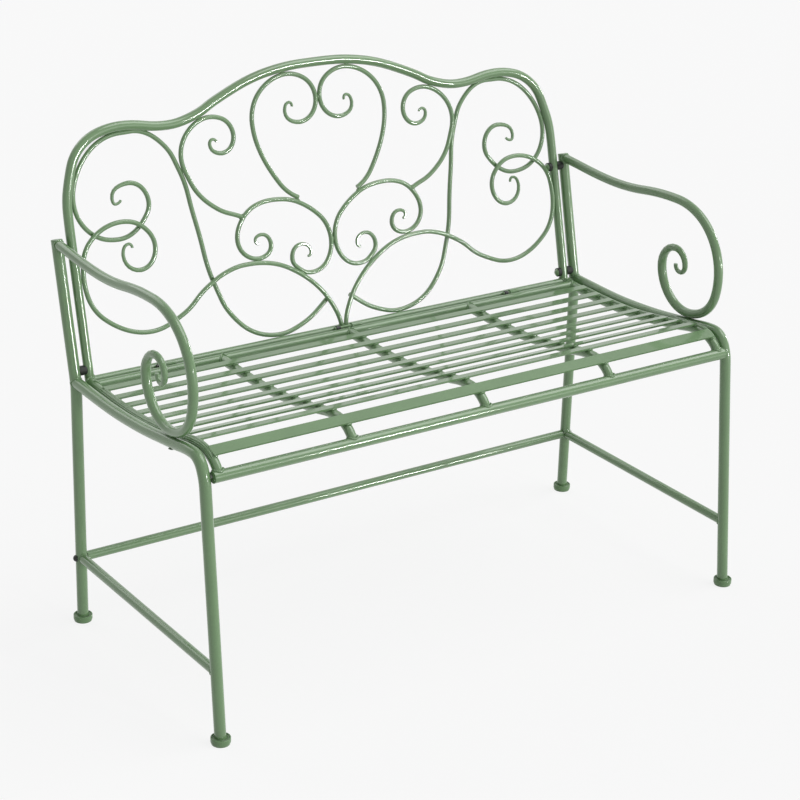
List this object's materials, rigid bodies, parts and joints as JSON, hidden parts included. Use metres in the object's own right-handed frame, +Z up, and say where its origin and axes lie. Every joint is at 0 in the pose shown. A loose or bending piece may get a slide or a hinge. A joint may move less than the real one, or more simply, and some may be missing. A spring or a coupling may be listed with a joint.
{
  "type": "garden bench",
  "caption": "Garden bench in powder-coated steel tube, with a slatted seat, scrolled arms and an arched back filled with curled rods.",
  "frame": {"origin": "on the ground, in the middle of the bench's box", "axes": "+X along the bench, to the right as seen from the front; -Y towards the front; +Z up"},
  "size_m": [1.066, 0.603, 0.8872],
  "materials": {
    "powder_coat": "sage green powder coat, semi-gloss",
    "green_plastic": "moulded, satin",
    "black_plastic": "moulded, matte",
    "coated_steel": "black coated, satin",
    "bare_steel": "turned"
  },
  "bodies": {
    "root": {"front_leg_left": "powder_coat", "front_leg_right": "powder_coat", "rear_post_left": "powder_coat", "rear_post_right": "powder_coat", "armrest_left": "powder_coat", "armrest_right": "powder_coat", "side_stretcher_left": "powder_coat", "side_stretcher_right": "powder_coat", "front_foot_left": "green_plastic", "front_foot_right": "green_plastic", "rear_foot_left": "green_plastic", "rear_foot_right": "green_plastic", "rear_stretcher": "powder_coat", "stretcher_plugs": "bare_steel", "stretcher_bolts": "coated_steel", "back_frame": "powder_coat", "back_bottom_rail": "powder_coat", "upright_plugs": "black_plastic", "scroll_a_left": "powder_coat", "scroll_a_right": "powder_coat", "scroll_b_left": "powder_coat", "scroll_b_right": "powder_coat", "scroll_c_left": "powder_coat", "scroll_c_right": "powder_coat", "scroll_d_left": "powder_coat", "scroll_d_right": "powder_coat", "scroll_e_left": "powder_coat", "scroll_e_right": "powder_coat", "seat_front_rail": "powder_coat", "seat_rear_rail": "powder_coat", "seat_side_rail_left": "powder_coat", "seat_side_rail_right": "powder_coat", "seat_support_1": "powder_coat", "seat_support_2": "powder_coat", "seat_support_3": "powder_coat", "seat_slat_1": "powder_coat", "seat_slat_2": "powder_coat", "seat_slat_3": "powder_coat", "seat_slat_4": "powder_coat", "seat_slat_5": "powder_coat", "seat_slat_6": "powder_coat", "seat_slat_7": "powder_coat", "seat_slat_8": "powder_coat", "seat_slat_9": "powder_coat", "seat_front_slat": "powder_coat", "rail_plugs": "green_plastic", "back_bolts": "powder_coat", "back_spacers": "black_plastic", "back_cups": "black_plastic", "post_caps": "green_plastic", "post_inserts": "bare_steel", "arm_bolts": "powder_coat", "seat_pins": "bare_steel", "rail_knuckles": "powder_coat", "rail_bolts": "coated_steel"}
  },
  "joints": []
}
